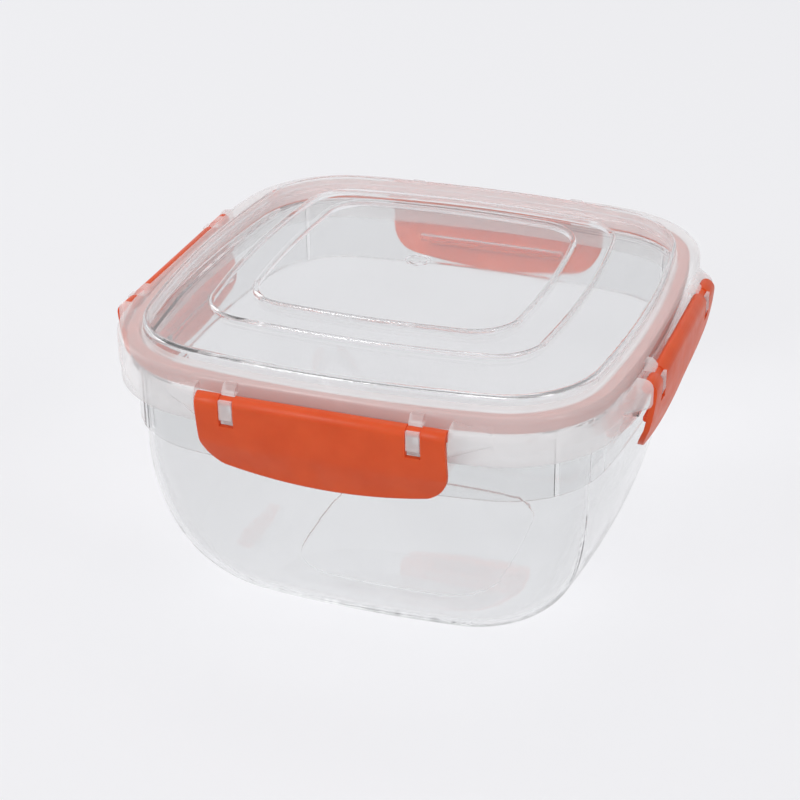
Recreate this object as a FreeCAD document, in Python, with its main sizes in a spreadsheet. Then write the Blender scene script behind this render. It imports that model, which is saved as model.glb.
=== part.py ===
import FreeCAD, Part
import math
import os
from types import SimpleNamespace

import Sketcher

# A square food storage box with bowed sides: a clear bowl, and a lid that is a frosted frame round a
# clear window, with a seal in the frame's groove and four clips hinged on the frame's hooks.
# The origin is at the middle of the base, +Z is up, the front is -Y, and lengths are millimetres.

SIZES = {
    # Plan outline of the lid frame, which every other outline follows at an inset
    "skirt_half": 96.7,
    "side_radius": 400.0,
    "corner_radius": 43.5,
    # Bowl
    "bowl_height": 100.4,
    "bowl_wall": 2.0,
    "bowl_floor": 2.4,
    "bowl_corner": 28.0,
    "base_half": 49.6,
    "foot_height": 66.4,
    "wall_lean": 0.4,
    "base_ring": 9.0,
    "base_recess": 0.8,
    "rim_inset": 4.3,
    "rim_thickness": 2.4,
    "rim_bevel": 0.3,
    "collar_step": 1.9,
    "collar_wall": 1.4,
    "collar_gap": 1.9,
    "collar_height": 26.2,
    "collar_bevel": 0.5,
    "collar_rib": 1.6,
    "catch_length": 60.0,
    "catch_reach": 1.3,
    "catch_rise": 9.6,
    "catch_height": 2.6,
    "catch_slope": 1.1,
    # Seal
    "seal_height": 5.7,
    "seal_width": 3.7,
    "seal_gap": 0.1,
    "bead_height": 1.0,
    "bead_width": 1.8,
    # Lid frame
    "plate": 2.0,
    "frame_round": 2.0,
    "skirt_wall": 3.9,
    "skirt_drop": 10.0,
    "skirt_step": 0.5,
    "step_drop": 3.4,
    "skirt_bevel": 0.5,
    "groove_wall": 0.8,
    "groove_depth": 5.6,
    # Hinges on the frame
    "flat_depth": 2.5,
    "hinge_drop": 6.1,
    "swing_gap": 1.55,
    "roll_radius": 2.2,
    "bar_radius": 1.7,
    "bar_gap": 0.25,
    "hook_wall": 1.2,
    "hook_width": 4.7,
    "hook_spacing": 66.6,
    "hook_rise": 1.2,
    "hook_drop": 6.8,
    "hook_round": 1.5,
    "stop_height": 3.2,
    "stop_slope": 2.0,
    "ear_gap": 0.7,
    "ear_length": 14.5,
    "ear_reach": 2.1,
    "ear_rise": 4.0,
    "ear_drop": 8.0,
    "ear_round": 3.6,
    "tail_height": 4.0,
    "tail_round": 0.5,
    # Window
    "window_corner": 34.0,
    "window_gap": 0.15,
    "window_wall": 1.8,
    "flange_reach": 0.6,
    "flange_gap": 0.1,
    "flange_height": 1.7,
    "dome_wall_rise": 3.3,
    "dome_slope_rise": 1.9,
    "dome_round": 2.0,
    "band_half": 65.0,
    "band_corner": 19.0,
    "band_rise": 1.6,
    "panel_half": 51.8,
    "panel_corner": 18.0,
    "panel_rise": 2.0,
    "step_round": 1.0,
    "gate_radius": 4.7,
    "gate_width": 1.4,
    "gate_depth": 0.5,
    # Clips
    "clip_length": 89.0,
    "clip_wall": 2.0,
    "face_reach": 3.15,
    "face_drop": 1.5,
    "shoulder_radius": 3.5,
    "face_radius": 90.0,
    "crease_rise": 12.2,
    "crease_set_back": 0.9,
    "tab_set_back": 5.1,
    "tab_drop": 1.3,
    "tab_round": 1.2,
    "tab_lift": 5.3,
    "tab_corner": 13.0,
    "release_gap": 0.4,
    "rib_drop": 0.9,
    "rib_height": 1.8,
    "rib_bevel": 0.6,
    "rib_length": 56.0,
    "slot_gap": 0.35,
    "slot_room": 2.0,
    # How far a cut runs past what it cuts
    "overrun": 5.0,
}

FOOT_STEPS = 5
SIDES = 4
HALF_SHARE = 0.5
CATCH_ROOT_SHARE = 0.25
TAIL_ROOT_SHARE = 0.75
TAIL_FRONT_SHARE = 0.16
MATCH_SHARE = 0.002


class Length:
    """A size worked out from cells of the sheet: its number, and the expression that keeps it bound."""

    def __init__(self, value, text):
        self.value = value
        self.text = text

    def __add__(self, other):
        return Length(self.value + other.value, f"({self.text} + {other.text})")

    def __sub__(self, other):
        return Length(self.value - other.value, f"({self.text} - {other.text})")

    def __neg__(self):
        return Length(-self.value, f"(0 - {self.text})")

    def __mul__(self, share):
        return Length(self.value * share, f"({self.text} * {share!r})")

    def ratio(self, other):
        """This length times one of two like lengths over the other."""
        top, bottom = other
        return Length(self.value * top.value / bottom.value, f"({self.text} * {top.text} / {bottom.text})")

    def leg(self, other):
        """The other leg of a right triangle whose longest side is this length."""
        value = math.sqrt(self.value ** 2 - other.value ** 2)
        return Length(value, f"sqrt({self.text} ^ 2 - {other.text} ^ 2)")


doc = FreeCAD.newDocument("food_storage_box")
sheet = doc.addObject("Spreadsheet::Sheet", "Sizes")
for row, (alias, number) in enumerate(SIZES.items(), start=1):
    sheet.set(f"A{row}", alias)
    sheet.set(f"B{row}", str(number))
    sheet.setAlias(f"B{row}", alias)
doc.recompute()

size = SimpleNamespace(**{alias: Length(number, f"Sizes.{alias}") for alias, number in SIZES.items()})
zero = Length(0.0, "0")

# Halves: from the centre to the middle of a side
bow_centre = size.side_radius - size.skirt_half
skirt_inner = size.skirt_half - size.skirt_wall
lower_skirt = size.skirt_half - size.skirt_step
rim_half = size.skirt_half - size.rim_inset
collar_half = rim_half - size.collar_step
collar_inner = collar_half - size.collar_wall
wall_half = collar_inner - size.collar_gap
seal_outer = skirt_inner - size.seal_gap
seal_inner = seal_outer - size.seal_width
groove_outer = seal_inner - size.seal_gap
groove_inner = groove_outer - size.groove_wall
flange_half = groove_inner - size.flange_gap
window_half = flange_half - size.flange_reach
hinge_flat = size.skirt_half - size.flat_depth

# Heights above the base
rim_top = size.bowl_height
collar_top = rim_top - size.rim_thickness
collar_bottom = rim_top - size.collar_height
bead_top = rim_top + size.bead_height
plate_bottom = bead_top + size.seal_height
frame_top = plate_bottom + size.plate
skirt_bottom = rim_top - size.skirt_drop
step_level = rim_top - size.step_drop

# The line that a clip turns about: its distance from the centre and its height
axis_out = hinge_flat + size.swing_gap + size.roll_radius
axis_up = frame_top - size.hinge_drop
hook_bottom = axis_up - size.hook_drop
clip_end = size.clip_length * HALF_SHARE
crease_up = collar_bottom + size.crease_rise
tab_bottom = collar_bottom - size.tab_drop
tab_up = tab_bottom + size.tab_round
catch_bottom = collar_bottom + size.catch_rise


def plane(body, role):
    """The origin plane or axis of a body that has this role."""
    return next(feature for feature in body.Origin.OriginFeatures if feature.Role == role)


def add_body(label):
    """A new body, whose label names its file."""
    body = doc.addObject("PartDesign::Body", label)
    body.Label = label
    return body


def add_sketch(body, name, role, level=zero):
    """A sketch on one of the body's origin planes, moved along that plane's normal to a level."""
    sketch = body.newObject("Sketcher::SketchObject", name)
    sketch.AttachmentSupport = (plane(body, role), [""])
    sketch.MapMode = "FlatFace"
    sketch.AttachmentOffset = FreeCAD.Placement(FreeCAD.Vector(0, 0, level.value), FreeCAD.Rotation())
    sketch.setExpression("AttachmentOffset.Base.z", level.text)
    return sketch


def fix(sketch, kind, *where):
    """A dimension of a sketch, bound to the length given last."""
    length = where[-1]
    index = sketch.addConstraint(Sketcher.Constraint(kind, *where[:-1], length.value))
    sketch.setExpression(f"Constraints[{index}]", length.text)


def outline(sketch, half, corner):
    """A closed square outline of four bowed sides and four corner arcs, all tangent."""
    centre = bow_centre.value
    side_radius = bow_centre + half
    reach = side_radius.value - corner.value
    k = (math.sqrt(2 * reach ** 2 - centre ** 2) - centre) / 2
    sides = []
    corners = []
    for quarter in range(SIDES):
        turn = FreeCAD.Rotation(FreeCAD.Vector(0, 0, 1), math.degrees(quarter * math.pi / 2))
        start = math.atan2(-k - centre, -k) + quarter * math.pi / 2
        middle = math.atan2(-k - centre, k) + quarter * math.pi / 2
        end = math.atan2(-k, k + centre) + quarter * math.pi / 2
        up = FreeCAD.Vector(0, 0, 1)
        side = Part.Circle(turn.multVec(FreeCAD.Vector(0, centre, 0)), up, side_radius.value)
        bend = Part.Circle(turn.multVec(FreeCAD.Vector(k, -k, 0)), up, corner.value)
        sides.append(sketch.addGeometry(Part.ArcOfCircle(side, start, middle)))
        corners.append(sketch.addGeometry(Part.ArcOfCircle(bend, middle, end)))
    for quarter in range(SIDES):
        following = sides[(quarter + 1) % SIDES]
        sketch.addConstraint(Sketcher.Constraint("Tangent", sides[quarter], 2, corners[quarter], 1))
        sketch.addConstraint(Sketcher.Constraint("Tangent", corners[quarter], 2, following, 1))
        across = -2 if quarter % 2 == 0 else -1
        sketch.addConstraint(Sketcher.Constraint("PointOnObject", sides[quarter], 3, across))
    for quarter in range(1, SIDES):
        sketch.addConstraint(Sketcher.Constraint("Equal", sides[0], sides[quarter]))
        sketch.addConstraint(Sketcher.Constraint("Equal", corners[0], corners[quarter]))
    fix(sketch, "Radius", sides[0], side_radius)
    fix(sketch, "Radius", corners[0], corner)
    fix(sketch, "DistanceY", -1, 1, sides[0], 3, bow_centre)
    fix(sketch, "DistanceX", sides[1], 3, -1, 1, bow_centre)
    fix(sketch, "DistanceY", sides[2], 3, -1, 1, bow_centre)
    fix(sketch, "DistanceX", -1, 1, sides[3], 3, bow_centre)


def frame_corner(half):
    """The corner radius of an outline that runs parallel to the frame's skirt."""
    return size.corner_radius - (size.skirt_half - half)


def ring_sketch(body, name, level, *halves):
    """One or two outlines parallel to the frame's skirt, at a level."""
    sketch = add_sketch(body, name, "XY_Plane", level)
    for half in halves:
        outline(sketch, half, frame_corner(half))
    return sketch


def polygon(sketch, points):
    """A closed outline through points; a third and fourth value make the way to a point an arc of that
    radius, turning left for 1 and right for -1."""
    ways = []
    for number, point in enumerate(points):
        before = points[number - 1]
        start = FreeCAD.Vector(before[0].value, before[1].value, 0)
        end = FreeCAD.Vector(point[0].value, point[1].value, 0)
        if len(point) == 2:
            ways.append((sketch.addGeometry(Part.LineSegment(start, end)), 1, 2))
            continue
        radius, turn = point[2], point[3]
        chord = end - start
        rise = math.sqrt(max(radius.value ** 2 - chord.Length ** 2 / 4, 0))
        across = FreeCAD.Vector(-chord.y, chord.x, 0).normalize() * turn
        circle = Part.Circle((start + end) / 2 + across * rise, FreeCAD.Vector(0, 0, 1), radius.value)
        first, last = (start, end) if turn > 0 else (end, start)
        arc = Part.ArcOfCircle(circle, circle.parameter(first), circle.parameter(last))
        index = sketch.addGeometry(arc)
        ways.append((index, 1, 2) if turn > 0 else (index, 2, 1))
    for number, point in enumerate(points):
        index, _, far_end = ways[number]
        following, next_start, _ = ways[(number + 1) % len(points)]
        sketch.addConstraint(Sketcher.Constraint("Coincident", index, far_end, following, next_start))
        fix(sketch, "DistanceX", -1, 1, index, far_end, point[0])
        fix(sketch, "DistanceY", -1, 1, index, far_end, point[1])
        if len(point) == 4:
            fix(sketch, "Radius", index, point[2])


def circle_sketch(sketch, across, up, radius):
    """A circle about a point of the sketch."""
    centre = FreeCAD.Vector(across.value, up.value, 0)
    index = sketch.addGeometry(Part.Circle(centre, FreeCAD.Vector(0, 0, 1), radius.value))
    fix(sketch, "Radius", index, radius)
    fix(sketch, "DistanceX", -1, 1, index, 3, across)
    fix(sketch, "DistanceY", -1, 1, index, 3, up)


def centred_circle(sketch, radius):
    """A circle about the sketch's origin."""
    index = sketch.addGeometry(Part.Circle(FreeCAD.Vector(0, 0, 0), FreeCAD.Vector(0, 0, 1), radius.value))
    sketch.addConstraint(Sketcher.Constraint("Coincident", index, 3, -1, 1))
    fix(sketch, "Radius", index, radius)


def extrude(body, kind, name, sketch, length, side="One side", back=False):
    """A pad or a pocket of a sketch, as deep as a length."""
    feature = body.newObject(f"PartDesign::{kind}", name)
    feature.Profile = sketch
    feature.SideType = side
    feature.Reversed = back
    feature.setExpression("Length", length.text)
    return feature


def cut_through(body, name, sketch):
    """A pocket of a sketch that runs through the whole body, both ways."""
    feature = body.newObject("PartDesign::Pocket", name)
    feature.Profile = sketch
    feature.SideType = "Symmetric"
    feature.Type = "ThroughAll"
    return feature


def loft(body, kind, name, sketches, ruled):
    """A loft through sketches, added to the body or cut out of it."""
    feature = body.newObject(f"PartDesign::{kind}", name)
    feature.Profile = sketches[0]
    feature.Sections = sketches[1:]
    feature.Ruled = ruled
    return feature


def ring(body, name, bottom, top, *halves):
    """A pad between two levels of one outline, or of the ring between two."""
    return extrude(body, "Pad", name, ring_sketch(body, f"{name}_outline", bottom, *halves), top - bottom)


def dress_edges(body, kind, name, chosen):
    """A fillet or a chamfer on the edges of the body's last feature that a test chooses."""
    doc.recompute()
    last = body.Tip
    edges = [f"Edge{number}" for number, edge in enumerate(last.Shape.Edges, start=1) if chosen(edge)]
    feature = body.newObject(f"PartDesign::{kind}", name)
    feature.Base = (last, edges)
    return feature


def round_edges(body, name, radius, chosen):
    """A fillet of a radius on chosen edges."""
    dress_edges(body, "Fillet", name, chosen).setExpression("Radius", radius.text)


def bevel_edges(body, name, side, chosen):
    """A chamfer of a side on chosen edges."""
    dress_edges(body, "Chamfer", name, chosen).setExpression("Size", side.text)


def follows(half, corner, level, flats=False):
    """A test for the edges of a bowed square outline at a level, and of flats cut into its sides."""
    near = size.skirt_half.value * MATCH_SHARE

    def test(edge):
        curve = edge.Curve
        if any(abs(vertex.Z - level.value) > near for vertex in edge.Vertexes):
            return False
        if not isinstance(curve, Part.Circle):
            return flats and isinstance(curve, Part.Line)
        radii = ((bow_centre + half).value, corner.value)
        return min(abs(curve.Radius - radius) for radius in radii) < near

    return test


def around(body, name, originals):
    """Features repeated on all four sides."""
    pattern = body.newObject("PartDesign::PolarPattern", name)
    pattern.Originals = originals
    pattern.Axis = (plane(body, "Z_Axis"), [""])
    pattern.Angle = 360
    pattern.Occurrences = SIDES
    body.Tip = pattern
    return pattern


def corner_reach(half, corner):
    """How far an outline's corner is from the centre, along the diagonal."""
    centre = bow_centre
    reach = centre + half - corner
    root = math.sqrt(2 * reach.value ** 2 - centre.value ** 2)
    value = (root - centre.value) / math.sqrt(2) + corner.value
    text = f"((sqrt(2 * {reach.text} ^ 2 - {centre.text} ^ 2) - {centre.text}) / sqrt(2) + {corner.text})"
    return Length(value, text)


def bowed_at(half, across):
    """How far out an outline's bowed side is, at a distance along the side from its middle."""
    return (bow_centre + half).leg(across) - bow_centre


def bowl_sections(body, name, wall, floor, top):
    """The outlines of the bowl's outer or inner face, from its floor round the foot to its rim."""
    reach = wall_half - size.wall_lean - size.base_half
    sections = []
    for step in range(FOOT_STEPS + 1):
        turn = math.pi / 2 * step / FOOT_STEPS
        level = floor + (size.foot_height - floor) * (1 - math.cos(turn))
        half = size.base_half + (reach - wall) * math.sin(turn) + size.wall_lean.ratio((level, rim_top))
        sections.append((level, half))
    sections.append((top, wall_half - wall + size.wall_lean.ratio((top - rim_top, rim_top))))
    sketches = []
    for number, (level, half) in enumerate(sections):
        sketch = add_sketch(body, f"{name}_{number}", "XY_Plane", level)
        outline(sketch, half, size.bowl_corner - wall)
        sketches.append(sketch)
    return sketches


def bowl_loft(body, kind, name, wall, floor, top):
    """The bowl's outer or inner form: a round foot, and a straight wall that leans out above it."""
    sketches = bowl_sections(body, name, wall, floor, top)
    loft(body, kind, f"{name}_foot", sketches[:-1], False)
    loft(body, kind, f"{name}_wall", sketches[-2:], True)


def make_bowl():
    """The bowl: one wall on a rounded foot, and a rim that turns out and down into a collar."""
    body = add_body("bowl")
    bowl_loft(body, "AdditiveLoft", "outer", zero, zero, rim_top)
    ring(body, "rim", collar_top, rim_top, rim_half)
    bevel_edges(body, "rim_edge", size.rim_bevel, follows(rim_half, frame_corner(rim_half), rim_top))
    ring(body, "collar", collar_bottom, collar_top, collar_half, collar_inner)
    collar_edge = follows(collar_half, frame_corner(collar_half), collar_bottom)
    bevel_edges(body, "collar_edge", size.collar_bevel, collar_edge)
    rib = add_sketch(body, "rib_outline", "XY_Plane", collar_bottom)
    rib.AttachmentOffset = FreeCAD.Placement(
        FreeCAD.Vector(0, 0, collar_bottom.value), FreeCAD.Rotation(FreeCAD.Vector(0, 0, 1), 45)
    )
    rib.setExpression("AttachmentOffset.Base.z", collar_bottom.text)
    inner = corner_reach(wall_half, size.bowl_corner) - size.bowl_wall * HALF_SHARE
    outer = corner_reach(collar_inner, frame_corner(collar_inner)) + size.collar_wall * HALF_SHARE
    side = size.collar_rib * HALF_SHARE
    polygon(rib, [(inner, -side), (outer, -side), (outer, side), (inner, side)])
    rib_pad = extrude(body, "Pad", "rib", rib, collar_top - collar_bottom)
    catch = add_sketch(body, "catch_profile", "YZ_Plane")
    root = bowed_at(collar_half, size.catch_length * HALF_SHARE) - size.collar_wall * CATCH_ROOT_SHARE
    catch_top = catch_bottom + size.catch_height
    front = collar_half + size.catch_reach
    polygon(
        catch,
        [
            (-root, catch_bottom),
            (-root, catch_top),
            (-collar_half, catch_top),
            (-front, catch_top - size.catch_slope),
            (-front, catch_bottom),
        ],
    )
    catch_pad = extrude(body, "Pad", "catch", catch, size.catch_length, "Symmetric")
    around(body, "ribs", [rib_pad, catch_pad])
    bowl_loft(body, "SubtractiveLoft", "inner", size.bowl_wall, size.bowl_floor, rim_top + size.overrun)
    recess = add_sketch(body, "recess_outline", "XY_Plane")
    outline(recess, size.base_half - size.base_ring, size.bowl_corner - size.base_ring)
    extrude(body, "Pocket", "recess", recess, size.base_recess, back=True)
    return body


def make_seal():
    """The seal: a ring that fills the frame's groove, with a bead that lies on the bowl's rim."""
    body = add_body("seal_ring")
    ring(body, "body", bead_top, plate_bottom, seal_outer, seal_inner)
    ring(body, "bead", rim_top, bead_top, seal_inner + size.bead_width, seal_inner)
    return body


def hook_profile(sketch):
    """The J that holds a clip's bar from below and in front."""
    root = bowed_at(size.skirt_half, size.hook_spacing * HALF_SHARE) - size.skirt_wall * HALF_SHARE
    front = axis_out + size.bar_radius + size.bar_gap + size.hook_wall
    seat = size.bar_radius + size.bar_gap
    tip = axis_up + size.hook_rise
    polygon(
        sketch,
        [
            (-root, hook_bottom),
            (-root, axis_up),
            (-(axis_out - seat), axis_up),
            (-axis_out, axis_up - seat, seat, -1),
            (-(axis_out + seat), axis_up, seat, -1),
            (-(front - size.hook_wall), tip),
            (-front, tip),
            (-front, hook_bottom + size.hook_round),
            (-(front - size.hook_round), hook_bottom, size.hook_round, 1),
        ],
    )


def stop_profile(sketch):
    """The short block on the skirt that keeps a clip's bar from rising out of its hook."""
    root = bowed_at(size.skirt_half, size.hook_spacing * HALF_SHARE) - size.skirt_wall * HALF_SHARE
    bottom = axis_up + size.bar_radius + size.bar_gap
    top = bottom + size.stop_height
    polygon(
        sketch,
        [
            (-root, bottom),
            (-root, top),
            (-(axis_out - size.stop_slope), top),
            (-axis_out, top - size.stop_slope),
            (-axis_out, bottom),
        ],
    )


def ear_profile(sketch, root, front, bottom, top, bend):
    """A tongue that stands out from the skirt, with rounded outer corners."""
    polygon(
        sketch,
        [
            (-root, bottom),
            (-root, top),
            (-(front - bend), top),
            (-front, top - bend, bend, 1),
            (-front, bottom + bend),
            (-(front - bend), bottom, bend, 1),
        ],
    )


def make_ear(body, name, hand):
    """The ear beside a clip's end, which runs out along the skirt towards the corner."""
    near = clip_end + size.ear_gap
    far = near + size.ear_length
    middle = axis_up + (size.ear_rise - size.ear_drop) * HALF_SHARE
    tail_side = size.tail_height * HALF_SHARE
    near_root = bowed_at(size.skirt_half, near) - size.skirt_wall * HALF_SHARE
    far_root = bowed_at(size.skirt_half, far) - size.skirt_wall * TAIL_ROOT_SHARE
    far_front = bowed_at(size.skirt_half, far) - size.skirt_wall * TAIL_FRONT_SHARE
    head = add_sketch(body, f"{name}_head", "YZ_Plane", near if hand > 0 else -near)
    near_front = axis_out + size.ear_reach
    bottom = axis_up - size.ear_drop
    top = axis_up + size.ear_rise
    ear_profile(head, near_root, near_front, bottom, top, size.ear_round)
    tail = add_sketch(body, f"{name}_tail", "YZ_Plane", far if hand > 0 else -far)
    ear_profile(tail, far_root, far_front, middle - tail_side, middle + tail_side, size.tail_round)
    return loft(body, "AdditiveLoft", name, [head, tail], True)


def make_frame():
    """The frame: a plate, a skirt with a flat behind each clip, the seal's groove, hooks and ears."""
    body = add_body("lid_frame")
    opening = window_half + size.window_gap
    ring(body, "plate", plate_bottom, frame_top, size.skirt_half, opening)
    ring(body, "upper_skirt", step_level, plate_bottom, size.skirt_half, skirt_inner)
    ring(body, "lower_skirt", skirt_bottom, step_level, lower_skirt, skirt_inner)
    flat = add_sketch(body, "flat_outline", "XY_Plane")
    beyond = size.skirt_half + size.overrun
    along = clip_end + size.overrun
    polygon(flat, [(-along, -hinge_flat), (-along, -beyond), (along, -beyond), (along, -hinge_flat)])
    around(body, "flats", [cut_through(body, "flat", flat)])
    plate_edge = follows(size.skirt_half, size.corner_radius, frame_top, True)
    round_edges(body, "plate_edge", size.frame_round, plate_edge)
    skirt_edge = follows(lower_skirt, frame_corner(lower_skirt), skirt_bottom, True)
    bevel_edges(body, "skirt_edge", size.skirt_bevel, skirt_edge)
    ring(body, "groove_wall", plate_bottom - size.groove_depth, plate_bottom, groove_outer, groove_inner)
    repeated = []
    for name, hand in (("left", -1), ("right", 1)):
        place = size.hook_spacing * (HALF_SHARE * hand)
        for kind, profile in (("hook", hook_profile), ("stop", stop_profile)):
            sketch = add_sketch(body, f"{kind}_{name}_profile", "YZ_Plane", place)
            profile(sketch)
            repeated.append(extrude(body, "Pad", f"{kind}_{name}", sketch, size.hook_width, "Symmetric"))
        repeated.append(make_ear(body, f"ear_{name}", hand))
    around(body, "hinges", repeated)
    return body


def make_window():
    """The window: a low dome with a flange under the frame's plate and two raised steps on its top."""
    body = add_body("lid_window")
    wall = size.window_wall
    bottom = plate_bottom - size.flange_height
    wall_top = frame_top + size.dome_wall_rise
    slope_top = wall_top + size.dome_slope_rise
    band_top = slope_top + size.band_rise
    panel_top = band_top + size.panel_rise

    def stage(name, level, half, corner):
        sketch = add_sketch(body, name, "XY_Plane", level)
        outline(sketch, half, corner)
        return sketch

    flange = stage("flange_outline", bottom, flange_half, size.window_corner + size.flange_reach)
    extrude(body, "Pad", "flange", flange, size.flange_height)
    foot = stage("wall_outline", bottom, window_half, size.window_corner)
    extrude(body, "Pad", "wall", foot, wall_top - bottom)
    low = stage("slope_low", wall_top, window_half, size.window_corner)
    high = stage("slope_high", slope_top, size.band_half, size.band_corner)
    loft(body, "AdditiveLoft", "slope", [low, high], True)
    round_edges(body, "dome_edge", size.dome_round, follows(window_half, size.window_corner, wall_top))
    band = stage("band_outline", slope_top, size.band_half, size.band_corner)
    extrude(body, "Pad", "band", band, size.band_rise)
    panel = stage("panel_outline", band_top, size.panel_half, size.panel_corner)
    extrude(body, "Pad", "panel", panel, size.panel_rise)
    round_edges(body, "band_edge", size.step_round, follows(size.band_half, size.band_corner, band_top))
    round_edges(body, "panel_edge", size.step_round, follows(size.panel_half, size.panel_corner, panel_top))

    # The inside follows the outside at the wall's thickness
    below = bottom - size.overrun
    inside = window_half - wall
    inside_corner = size.window_corner - wall
    band_inside = size.band_half - wall
    band_corner = size.band_corner - wall
    well = stage("well_outline", below, inside, inside_corner)
    extrude(body, "Pocket", "well", well, wall_top - wall - below, back=True)
    low = stage("inner_low", wall_top - wall, inside, inside_corner)
    high = stage("inner_high", slope_top - wall, band_inside, band_corner)
    loft(body, "SubtractiveLoft", "inner_slope", [low, high], True)
    band = stage("inner_band", below, band_inside, band_corner)
    extrude(body, "Pocket", "band_well", band, band_top - wall - below, back=True)
    panel = stage("inner_panel", below, size.panel_half - wall, size.panel_corner - wall)
    extrude(body, "Pocket", "panel_well", panel, panel_top - wall - below, back=True)

    # The ring that the moulding gate leaves in the middle of the top
    gate = add_sketch(body, "gate_outline", "XY_Plane", panel_top)
    centred_circle(gate, size.gate_radius)
    centred_circle(gate, size.gate_radius - size.gate_width)
    extrude(body, "Pocket", "gate", gate, size.gate_depth)
    return body


def shoulder_profile(sketch):
    """A clip cut across its top: the roll round the bar, and the shoulder that leads to the face."""
    face_out = axis_out + size.face_reach
    face_up = axis_up - size.face_drop
    polygon(
        sketch,
        [
            (-axis_out, axis_up + size.roll_radius, size.roll_radius, 1),
            (-face_out, face_up, size.shoulder_radius, 1),
            (-(face_out - size.clip_wall), face_up),
            (-axis_out, axis_up - size.roll_radius),
            (-(axis_out - size.roll_radius), axis_up, size.roll_radius, 1),
        ],
    )


def tab_out_at(level):
    """How far out a clip's tab is in the middle of the clip, at a level."""
    crease_out = axis_out + size.face_reach - size.crease_set_back
    lean = size.tab_set_back - size.crease_set_back
    return crease_out - lean.ratio((crease_up - level, crease_up - tab_up))


def face_profile(sketch, bow, lift):
    """A clip cut across below its shoulder, set in by a bow: the face, and the tab, shorter by a lift."""
    wall = size.clip_wall
    face_out = axis_out + size.face_reach
    face_up = axis_up - size.face_drop
    low = tab_up + lift
    crease_out = tab_out_at(crease_up) - bow.ratio((face_up - crease_up, face_up - tab_up))
    tab_out = tab_out_at(low) - bow.ratio((face_up - low, face_up - tab_up))
    polygon(
        sketch,
        [
            (-face_out, face_up),
            (-crease_out, crease_up, size.face_radius, 1),
            (-tab_out, low),
            (-(tab_out - size.tab_round), low - size.tab_round, size.tab_round, 1),
            (-(tab_out - wall), low - size.tab_round),
            (-(tab_out - wall), low),
            (-(crease_out - wall), crease_up),
            (-(face_out - wall), face_up, size.face_radius - wall, -1),
        ],
    )


def rib_profile(sketch):
    """The rib behind a clip's tab, whose tip goes under the bowl's catch bar."""
    tip = rim_half + size.release_gap
    top = catch_bottom - size.rib_drop
    bottom = top - size.rib_height
    root = tab_out_at(bottom) - size.clip_wall * HALF_SHARE
    polygon(
        sketch,
        [
            (-root, bottom),
            (-(tip + size.rib_bevel), bottom),
            (-tip, bottom + size.rib_bevel),
            (-tip, top),
            (-root, top),
        ],
    )


def make_clip(label, turn):
    """A clip: a hollow moulding on its own bar, with slots for the hooks and a hooked rib behind."""
    body = add_body(label)
    shoulder = add_sketch(body, "shoulder_outline", "YZ_Plane")
    shoulder_profile(shoulder)
    extrude(body, "Pad", "shoulder", shoulder, size.clip_length, "Symmetric")
    end_bow = collar_half - bowed_at(collar_half, clip_end)
    sections = []
    for name, place in (("left", -clip_end), ("middle", zero), ("right", clip_end)):
        section = add_sketch(body, f"face_{name}", "YZ_Plane", place)
        if place is zero:
            face_profile(section, zero, zero)
        else:
            face_profile(section, end_bow, size.tab_lift)
        sections.append(section)
    loft(body, "AdditiveLoft", "face", sections, False)
    rib = add_sketch(body, "rib_outline", "YZ_Plane")
    rib_profile(rib)
    extrude(body, "Pad", "rib", rib, size.rib_length, "Symmetric")
    below = tab_bottom - size.overrun
    corner = size.tab_corner
    edge_radius = clip_end.ratio((clip_end * HALF_SHARE, size.tab_lift)) + size.tab_lift * HALF_SHARE
    edge_centre = tab_bottom + edge_radius
    drop = (edge_radius - corner).leg(clip_end - corner)
    start_across = (clip_end - corner).ratio((edge_radius, edge_radius - corner))
    start_up = edge_centre - drop.ratio((edge_radius, edge_radius - corner))
    corner_top = edge_centre - drop
    corners = add_sketch(body, "corner_outline", "XZ_Plane")
    for hand in (-1, 1):
        start = start_across * hand
        end = clip_end * hand
        beyond = (clip_end + size.overrun) * hand
        polygon(
            corners,
            [
                (start, below),
                (start, start_up),
                (end, corner_top, corner, hand),
                (beyond, corner_top),
                (beyond, below),
            ],
        )
    cut_through(body, "corners", corners)
    slot_side = size.hook_width * HALF_SHARE + size.slot_gap
    slot_bottom = hook_bottom - size.slot_room
    slot_top = frame_top + size.overrun
    slots = add_sketch(body, "slot_outline", "XZ_Plane")
    for hand in (-1, 1):
        place = size.hook_spacing * (HALF_SHARE * hand)
        polygon(
            slots,
            [
                (place - slot_side, slot_bottom),
                (place + slot_side, slot_bottom),
                (place + slot_side, slot_top),
                (place - slot_side, slot_top),
            ],
        )
    cut_through(body, "slots", slots)
    bar = add_sketch(body, "bar_outline", "YZ_Plane")
    circle_sketch(bar, -axis_out, axis_up, size.bar_radius)
    extrude(body, "Pad", "bar", bar, size.clip_length, "Symmetric")
    facing = FreeCAD.Rotation(FreeCAD.Vector(0, 0, 1), turn)
    body.Placement = FreeCAD.Placement(FreeCAD.Vector(0, 0, 0), facing)
    return body


parts = [make_bowl(), make_seal(), make_frame(), make_window()]
for label, turn in (("clip_front", 0), ("clip_right", 90), ("clip_back", 180), ("clip_left", 270)):
    parts.append(make_clip(label, turn))
doc.recompute()

for item in doc.Objects:
    if "Invalid" in item.State or "Error" in item.State:
        raise RuntimeError(f"{item.Label} did not build: {item.State}")
for part in parts:
    if part.Shape.isNull() or not part.Shape.isValid() or len(part.Shape.Solids) != 1:
        raise RuntimeError(f"{part.Label} is not one sound solid")

os.makedirs("parts", exist_ok=True)
for part in parts:
    part.Shape.exportStep(f"parts/{part.Label}.step")
    print(f"{part.Label}: {part.Shape.Volume / 1000:.1f} cm3")
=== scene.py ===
import math

import bpy
from mathutils import Matrix, Vector

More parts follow.
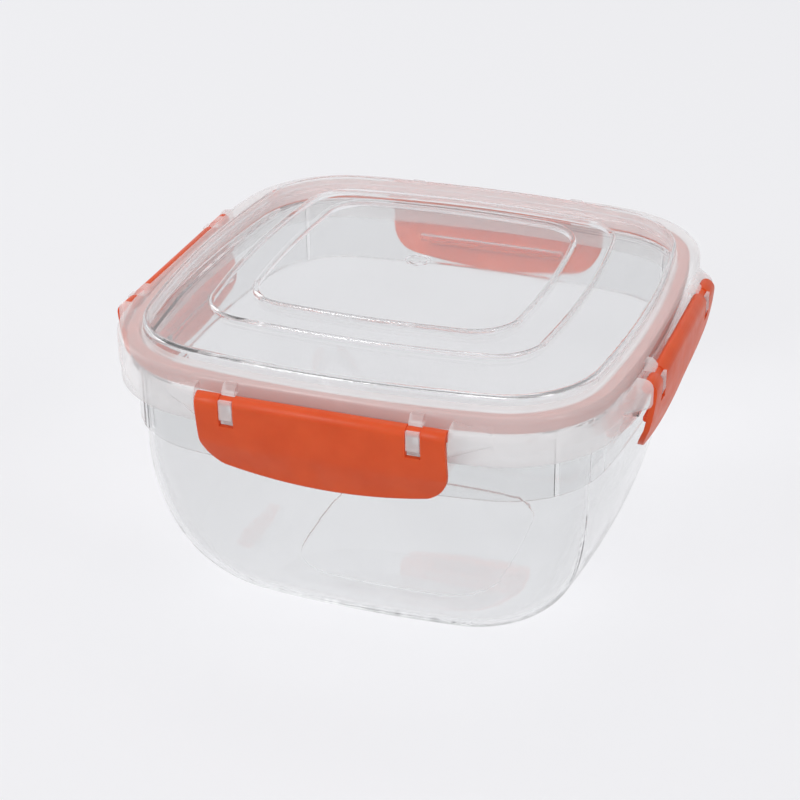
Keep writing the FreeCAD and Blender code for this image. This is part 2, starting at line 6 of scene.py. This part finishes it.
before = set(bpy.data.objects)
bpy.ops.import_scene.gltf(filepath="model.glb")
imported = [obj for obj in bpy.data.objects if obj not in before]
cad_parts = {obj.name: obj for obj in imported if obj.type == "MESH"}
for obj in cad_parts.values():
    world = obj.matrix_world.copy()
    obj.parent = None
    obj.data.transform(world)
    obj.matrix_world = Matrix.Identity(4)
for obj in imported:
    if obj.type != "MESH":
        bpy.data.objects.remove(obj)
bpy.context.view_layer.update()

# The photograph's camera, fitted to the hinges and to the outlines of the lid and the bowl: degrees,
# metres and pixels
AZIMUTH = 20.159
ELEVATION = 27.882
ROLL = -0.722
EYE = Vector((0.2402, -0.6753, 0.4392))
FOCAL_PIXELS = 2144.5
IMAGE_PIXELS = 800
SENSOR_MM = 36.0

# Stage: the backdrop's colour, the light of the sky, the colour that the floor throws back on the box,
# and the share of the floor's look that its light and shadow make
BACKDROP = (0.895, 0.895, 0.92, 1.0)
FLOOR_HALF = 9.0
FLOOR_LEVEL = -0.0002
SKY_LEVEL = 0.35
BOUNCE_COLOUR = (0.62, 0.62, 0.635, 1.0)
LIT_SHARE = 0.25

# Soft lamps: place, sides of the lamp, watts
LAMPS = {
    "key_lamp": ((2.2, -1.0, 1.5), (0.6, 1.2), 22.0),
    "fill_lamp": ((-1.2, -2.4, 1.7), (0.7, 1.2), 32.0),
    "side_lamp": ((-2.2, 0.5, 1.2), (1.2, 1.4), 16.0),
    "top_lamp": ((-0.1, 0.8, 2.6), (1.0, 1.0), 8.0),
}
AIM = Vector((0.0, 0.0, 0.07))

# How often light may pass through or off the clear walls, the brightest stray sample kept, and how much
# a mirrored view is blurred once light has scattered
LIGHT_STEPS = 64
STRAY_LIMIT = 1.0
BLUR_AFTER_SCATTER = 4.0

# Small roundings on the moulded clips' edges, and the air left between touching clear faces
CLIP_EDGE = 0.00035
EDGE_STEPS = 3
EDGE_ANGLE = 40
THIN_AIR = 0.00004
WELD_REACH = 0.000002

# Plastics: how light bends in them, and what a lamp's light keeps at each face that it passes
CLEAR_IOR = 1.47
POLYPROPYLENE_IOR = 1.49
SILICONE_IOR = 1.41
CLEAR_SHADOW = (0.98, 0.98, 0.98)
FROSTED_SHADOW = (0.92, 0.915, 0.915)
FROSTED_ALPHA = 0.34
FLOW_SHARE = 0.985

# The part of a noise's range that is used, since its ends are rare
NOISE_LOW = 0.3
NOISE_HIGH = 0.7

CLIPS = ("clip_front", "clip_right", "clip_back", "clip_left")


def node(tree, kind, inputs=None, **settings):
    """A shader node with its settings; an input is a value or another node's output."""
    made = tree.nodes.new(f"ShaderNode{kind}")
    for name, value in settings.items():
        setattr(made, name, value)
    for name, value in (inputs or {}).items():
        if isinstance(value, bpy.types.NodeSocket):
            tree.links.new(value, made.inputs[name])
        else:
            made.inputs[name].default_value = value
    return made


def new_material(name):
    """An empty node material and its tree."""
    material = bpy.data.materials.new(name)
    material.use_nodes = True
    material.node_tree.nodes.clear()
    return material, material.node_tree


def noise(tree, scale, detail):
    """Noise in the part's own frame, so that it moves with its piece."""
    place = node(tree, "TexCoord").outputs["Object"]
    return node(tree, "TexNoise", {"Vector": place, "Scale": scale, "Detail": detail}).outputs["Fac"]


def spread(tree, factor, low, high):
    """A factor's middle range mapped to run from low to high."""
    inputs = {"Value": factor, "From Min": NOISE_LOW, "From Max": NOISE_HIGH, "To Min": low, "To Max": high}
    return node(tree, "MapRange", inputs).outputs["Result"]


def shades(tree, factor, dark, light):
    """A colour between two shades."""
    ramp = node(tree, "ValToRGB", {"Fac": factor})
    stops = ((NOISE_LOW, dark), (NOISE_HIGH, light))
    for element, (position, colour) in zip(ramp.color_ramp.elements, stops):
        element.position = position
        element.color = (*colour, 1.0)
    return ramp.outputs["Color"]


def bump(tree, height, strength, depth):
    """A normal from a height, as deep as a length."""
    inputs = {"Height": height, "Strength": strength, "Distance": depth}
    return node(tree, "Bump", inputs).outputs["Normal"]


def mixed(tree, factor, first, second):
    """Two shaders mixed by a factor."""
    mix = node(tree, "MixShader", {"Fac": factor})
    tree.links.new(first, mix.inputs[1])
    tree.links.new(second, mix.inputs[2])
    return mix.outputs["Shader"]


def show(tree, surface, kind="OutputMaterial"):
    """Puts a shader out as what the material or the world shows."""
    tree.links.new(surface, node(tree, kind).inputs["Surface"])


def finish_surface(tree, shader, shadow_tint=None):
    """The material's output; a tint lets lamps shine through the plastic into the box."""
    surface = shader.outputs["BSDF"]
    if shadow_tint is not None:
        is_shadow = node(tree, "LightPath").outputs["Is Shadow Ray"]
        clear = node(tree, "BsdfTransparent", {"Color": (*shadow_tint, 1.0)}).outputs["BSDF"]
        surface = mixed(tree, is_shadow, surface, clear)
    show(tree, surface)


def clear_plastic(name, tint, polish, haze):
    """Clear moulded plastic: faint ripples of the moulding, and a polish that handling dulls in places."""
    material, tree = new_material(name)
    shader = node(
        tree,
        "BsdfPrincipled",
        {
            "Base Color": shades(tree, noise(tree, 25.0, 2.0), [FLOW_SHARE * part for part in tint], tint),
            "Roughness": spread(tree, noise(tree, 45.0, 5.0), polish, haze),
            "Normal": bump(tree, noise(tree, 40.0, 1.0), 0.04, 0.0004),
            "Transmission Weight": 1.0,
            "IOR": CLEAR_IOR,
        },
    )
    finish_surface(tree, shader, CLEAR_SHADOW)
    return material


def frosted_plastic(name):
    """Translucent polypropylene with a satin skin and cloudy flow in the moulding."""
    material, tree = new_material(name)
    shader = node(
        tree,
        "BsdfPrincipled",
        {
            "Base Color": shades(tree, noise(tree, 60.0, 3.0), (0.93, 0.905, 0.91), (0.96, 0.94, 0.945)),
            "Roughness": spread(tree, noise(tree, 160.0, 4.0), 0.16, 0.24),
            "Normal": bump(tree, noise(tree, 120.0, 2.0), 0.05, 0.0002),
            "Alpha": FROSTED_ALPHA,
            "IOR": POLYPROPYLENE_IOR,
        },
    )
    finish_surface(tree, shader, FROSTED_SHADOW)
    return material


def orange_plastic(name):
    """Coloured polypropylene: a fine satin grain, and slight flow marks in the colour."""
    material, tree = new_material(name)
    shader = node(
        tree,
        "BsdfPrincipled",
        {
            "Base Color": shades(tree, noise(tree, 90.0, 4.0), (0.72, 0.090, 0.021), (0.78, 0.106, 0.027)),
            "Roughness": spread(tree, noise(tree, 220.0, 4.0), 0.34, 0.44),
            "Normal": bump(tree, noise(tree, 3200.0, 2.0), 0.1, 0.0001),
            "Subsurface Weight": 0.3,
            "Subsurface Radius": (0.003, 0.0008, 0.0004),
            "Subsurface Scale": 1.0,
            "Specular IOR Level": 0.25,
            "IOR": POLYPROPYLENE_IOR,
        },
    )
    finish_surface(tree, shader)
    return material


def silicone(name):
    """Soft orange silicone, a little dusty."""
    material, tree = new_material(name)
    shader = node(
        tree,
        "BsdfPrincipled",
        {
            "Base Color": shades(tree, noise(tree, 130.0, 4.0), (0.46, 0.062, 0.016), (0.55, 0.085, 0.024)),
            "Roughness": spread(tree, noise(tree, 300.0, 5.0), 0.48, 0.62),
            "Normal": bump(tree, noise(tree, 1800.0, 3.0), 0.2, 0.0001),
            "IOR": SILICONE_IOR,
        },
    )
    finish_surface(tree, shader)
    return material


def seen_rays(tree):
    """1 for the rays that show the backdrop: to the camera, mirrored, or through clear walls."""
    path = node(tree, "LightPath").outputs
    seen = node(tree, "Math", {0: path["Is Camera Ray"], 1: path["Is Glossy Ray"]}, operation="MAXIMUM")
    inputs = {0: seen.outputs["Value"], 1: path["Is Transmission Ray"]}
    return node(tree, "Math", inputs, operation="MAXIMUM").outputs["Value"]


def matt(tree, colour):
    """A matt sheet of one colour, a little uneven."""
    inputs = {
        "Base Color": colour,
        "Roughness": spread(tree, noise(tree, 12.0, 3.0), 0.85, 0.95),
        "Specular IOR Level": 0.0,
    }
    return node(tree, "BsdfPrincipled", inputs).outputs["BSDF"]


def pale_floor():
    """A matt pale sheet that shows the backdrop's colour, with the box's shadow on it."""
    material, tree = new_material("floor_sheet")
    glow = node(tree, "Emission", {"Color": BACKDROP, "Strength": 1.0}).outputs["Emission"]
    shown = mixed(tree, LIT_SHARE, glow, matt(tree, BACKDROP))
    show(tree, mixed(tree, seen_rays(tree), matt(tree, BOUNCE_COLOUR), shown))
    return material


def dress(name, material):
    """Gives a CAD node its material."""
    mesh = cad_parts[name].data
    mesh.materials.clear()
    mesh.materials.append(material)


def join_faces(name):
    """Joins a CAD node's faces, so that the modifiers after it act on one closed skin."""
    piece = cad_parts[name]
    weld = piece.modifiers.new("join", "WELD")
    weld.merge_threshold = WELD_REACH
    return piece


def draw_in(name):
    """Draws a node's skin in by a hair, so that light meets its face and its neighbour's one by one."""
    shrink = join_faces(name).modifiers.new("thin_air", "DISPLACE")
    shrink.strength = -THIN_AIR
    shrink.mid_level = 0.0


def soften_edges(name):
    """Small roundings on a moulding's edges, which catch the light."""
    piece = join_faces(name)
    edges = piece.modifiers.new("edges", "BEVEL")
    edges.width = CLIP_EDGE
    edges.segments = EDGE_STEPS
    edges.limit_method = "ANGLE"
    edges.angle_limit = math.radians(EDGE_ANGLE)
    edges.harden_normals = True


def make_stage():
    """The floor, and a sky that shows the backdrop's colour wherever it is seen or mirrored."""
    bpy.ops.mesh.primitive_plane_add(size=2 * FLOOR_HALF, location=(0, 0, FLOOR_LEVEL))
    floor = bpy.context.object
    floor.name = "floor"
    floor.data.materials.append(pale_floor())
    world = bpy.data.worlds.new("studio")
    bpy.context.scene.world = world
    world.use_nodes = True
    tree = world.node_tree
    tree.nodes.clear()
    light = node(tree, "Background", {"Color": (1.0, 1.0, 1.0, 1.0), "Strength": SKY_LEVEL})
    shown = node(tree, "Background", {"Color": BACKDROP, "Strength": 1.0})
    sky = mixed(tree, seen_rays(tree), light.outputs["Background"], shown.outputs["Background"])
    show(tree, sky, "OutputWorld")


def make_lamps():
    """Large soft lamps that face the box."""
    for name, (place, sides, watts) in LAMPS.items():
        data = bpy.data.lights.new(name, "AREA")
        data.shape = "RECTANGLE"
        data.size, data.size_y = sides
        data.energy = watts
        lamp = bpy.data.objects.new(name, data)
        bpy.context.scene.collection.objects.link(lamp)
        lamp.location = place
        lamp.rotation_mode = "QUATERNION"
        lamp.rotation_quaternion = (AIM - Vector(place)).to_track_quat("-Z", "Y")


def make_camera():
    """The photograph's camera."""
    azimuth, elevation, roll = (math.radians(angle) for angle in (AZIMUTH, ELEVATION, ROLL))
    back = Vector(
        (
            math.sin(azimuth) * math.cos(elevation),
            -math.cos(azimuth) * math.cos(elevation),
            math.sin(elevation),
        )
    )
    right = Vector((math.cos(azimuth), math.sin(azimuth), 0.0))
    up = back.cross(right)
    turned_right = math.cos(roll) * right + math.sin(roll) * up
    turned_up = math.cos(roll) * up - math.sin(roll) * right
    data = bpy.data.cameras.new("photo_camera")
    data.sensor_width = SENSOR_MM
    data.lens = FOCAL_PIXELS * SENSOR_MM / IMAGE_PIXELS
    camera = bpy.data.objects.new("photo_camera", data)
    bpy.context.scene.collection.objects.link(camera)
    turn = Matrix((turned_right, turned_up, back)).transposed()
    camera.matrix_world = Matrix.Translation(EYE) @ turn.to_4x4()
    bpy.context.scene.camera = camera


dress("bowl", clear_plastic("clear_bowl", (0.90, 0.905, 0.905), 0.008, 0.03))
dress("lid_window", clear_plastic("clear_window", (0.94, 0.94, 0.942), 0.012, 0.05))
dress("lid_frame", frosted_plastic("frosted_frame"))
dress("seal_ring", silicone("seal"))
for name in ("lid_frame", "seal_ring"):
    draw_in(name)
clip_material = orange_plastic("clip")
for clip in CLIPS:
    dress(clip, clip_material)
    soften_edges(clip)

make_stage()
make_lamps()
make_camera()
bpy.context.scene.view_settings.view_transform = "Standard"
cycles = bpy.context.scene.cycles
cycles.max_bounces = LIGHT_STEPS
cycles.glossy_bounces = LIGHT_STEPS
cycles.transmission_bounces = LIGHT_STEPS
cycles.transparent_max_bounces = LIGHT_STEPS
cycles.sample_clamp_indirect = STRAY_LIMIT
cycles.blur_glossy = BLUR_AFTER_SCATTER
